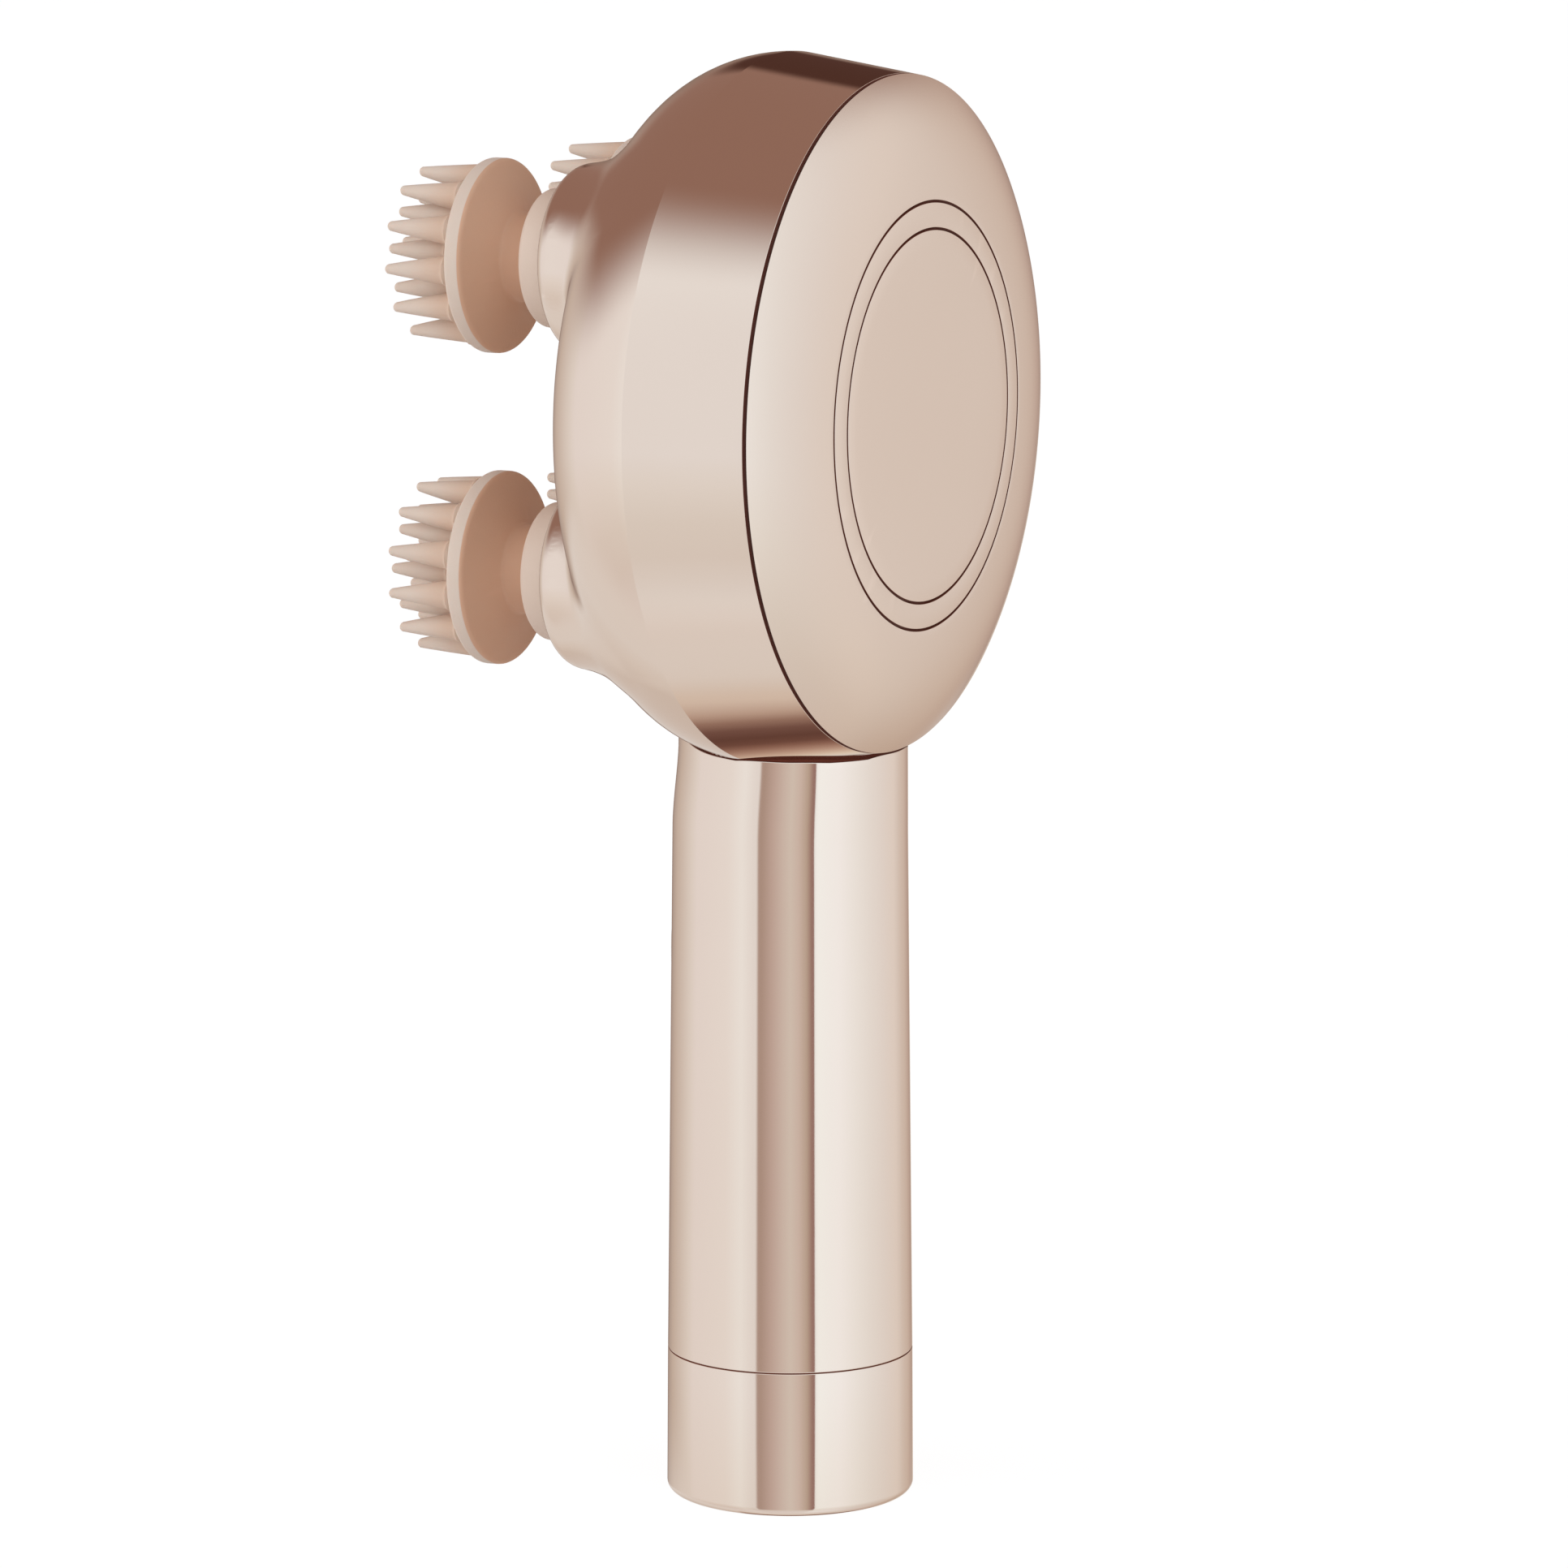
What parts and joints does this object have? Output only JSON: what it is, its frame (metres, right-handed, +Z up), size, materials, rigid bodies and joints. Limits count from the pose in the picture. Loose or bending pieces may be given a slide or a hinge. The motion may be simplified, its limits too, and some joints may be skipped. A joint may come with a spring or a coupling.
{
  "type": "electric scalp massager",
  "caption": "Hand-held scalp massager with a round tapered handle, a drum-shaped motor head, turning silicone massage heads with conical spikes, a power button and a charging socket.",
  "frame": {"origin": "centre of the handle's flat base, on the surface that it stands on", "axes": "+Z up along the handle, -Y towards the massage heads, +Y out of the back cover, +X completes the right-handed frame"},
  "size_m": [0.1026, 0.0719, 0.2113],
  "materials": {
    "plated_shell": "champagne plated gloss",
    "plated_cover": "champagne plated gloss",
    "matte_collar": "fine matte",
    "silicone": "soft matte silicone",
    "white_plastic": "moulded acetal",
    "grey_plastic": "moulded",
    "seal_rubber": "matte",
    "steel": "brushed",
    "gearbox_alloy": "satin",
    "bronze": "turned",
    "board_green": "solder mask",
    "battery_cell": "shrink wrap",
    "light_pipe": "clear gloss",
    "red_wire": "insulation",
    "black_wire": "insulation"
  },
  "bodies": {
    "housing": {"head_shell": "plated_shell", "back_cover": "plated_cover", "cover_ring": "plated_cover", "cover_plate": "plated_cover", "cover_gasket": "seal_rubber", "gear_plate": "grey_plastic", "motor_gearbox": "gearbox_alloy", "motor_can": "steel", "plate_screw_1": "steel", "plate_screw_2": "steel", "plate_screw_3": "steel", "plate_screw_4": "steel", "shaft_bush_1": "bronze", "shaft_bush_2": "bronze", "shaft_bush_3": "bronze", "shaft_bush_4": "bronze", "shaft_seal_1": "seal_rubber", "shaft_seal_2": "seal_rubber", "shaft_seal_3": "seal_rubber", "shaft_seal_4": "seal_rubber", "handle_shell": "plated_shell", "neck_nut": "bronze", "neck_seal": "seal_rubber", "end_cap": "plated_shell", "cap_seal": "seal_rubber", "usb_port": "steel", "charge_board": "board_green", "battery_tray": "white_plastic", "battery": "battery_cell", "main_board": "board_green", "tact_switch": "grey_plastic", "button_bezel": "plated_cover", "status_light": "light_pipe", "motor_lead_red": "red_wire", "motor_lead_black": "black_wire", "charge_lead_red": "red_wire", "charge_lead_black": "black_wire"},
    "sun": {"sun_shaft": "steel", "sun_gear": "white_plastic"},
    "drive_1": {"output_gear_1": "white_plastic", "drive_shaft_1": "steel", "drive_collar_1": "matte_collar"},
    "drive_2": {"output_gear_2": "white_plastic", "drive_shaft_2": "steel", "drive_collar_2": "matte_collar"},
    "drive_3": {"output_gear_3": "white_plastic", "drive_shaft_3": "steel", "drive_collar_3": "matte_collar"},
    "drive_4": {"output_gear_4": "white_plastic", "drive_shaft_4": "steel", "drive_collar_4": "matte_collar"},
    "pad_1": {"massage_pad_1": "silicone"},
    "pad_2": {"massage_pad_2": "silicone"},
    "pad_3": {"massage_pad_3": "silicone"},
    "pad_4": {"massage_pad_4": "silicone"},
    "button": {"power_button": "plated_shell", "switch_plunger": "grey_plastic"},
    "plug": {"port_plug": "silicone"}
  },
  "joints": [
    {"name": "sun_spin", "type": "hinge", "parent": "housing", "child": "sun", "pos_m": [0, 0, 0.16005], "axis": [0, 1, 0], "continuous": true},
    {"name": "head_spin_1", "type": "hinge", "parent": "housing", "child": "drive_1", "pos_m": [0.0225, 0, 0.18255], "axis": [0, 1, 0], "continuous": true},
    {"name": "head_spin_2", "type": "hinge", "parent": "housing", "child": "drive_2", "pos_m": [-0.0225, 0, 0.18255], "axis": [0, 1, 0], "continuous": true},
    {"name": "head_spin_3", "type": "hinge", "parent": "housing", "child": "drive_3", "pos_m": [-0.0225, 0, 0.13755], "axis": [0, 1, 0], "continuous": true},
    {"name": "head_spin_4", "type": "hinge", "parent": "housing", "child": "drive_4", "pos_m": [0.0225, 0, 0.13755], "axis": [0, 1, 0], "continuous": true},
    {"name": "pad_pull_1", "type": "slide", "parent": "drive_1", "child": "pad_1", "axis": [0, -1, 0], "range_m": [0, 0.008]},
    {"name": "pad_pull_2", "type": "slide", "parent": "drive_2", "child": "pad_2", "axis": [0, -1, 0], "range_m": [0, 0.008]},
    {"name": "pad_pull_3", "type": "slide", "parent": "drive_3", "child": "pad_3", "axis": [0, -1, 0], "range_m": [0, 0.008]},
    {"name": "pad_pull_4", "type": "slide", "parent": "drive_4", "child": "pad_4", "axis": [0, -1, 0], "range_m": [0, 0.008]},
    {"name": "button_press", "type": "slide", "parent": "housing", "child": "button", "axis": [0, 1, 0], "range_m": [0, 0.0006], "stiffness_N_per_m": 1500, "springref_m": -0.0004},
    {"name": "plug_pull", "type": "slide", "parent": "housing", "child": "plug", "axis": [0, 0, -1], "range_m": [0, 0.006]}
  ],
  "couplings": [
    {"joint": "head_spin_1", "follows": "sun_spin", "ratio": -1.6},
    {"joint": "head_spin_2", "follows": "sun_spin", "ratio": -1.6},
    {"joint": "head_spin_3", "follows": "sun_spin", "ratio": -1.6},
    {"joint": "head_spin_4", "follows": "sun_spin", "ratio": -1.6}
  ]
}
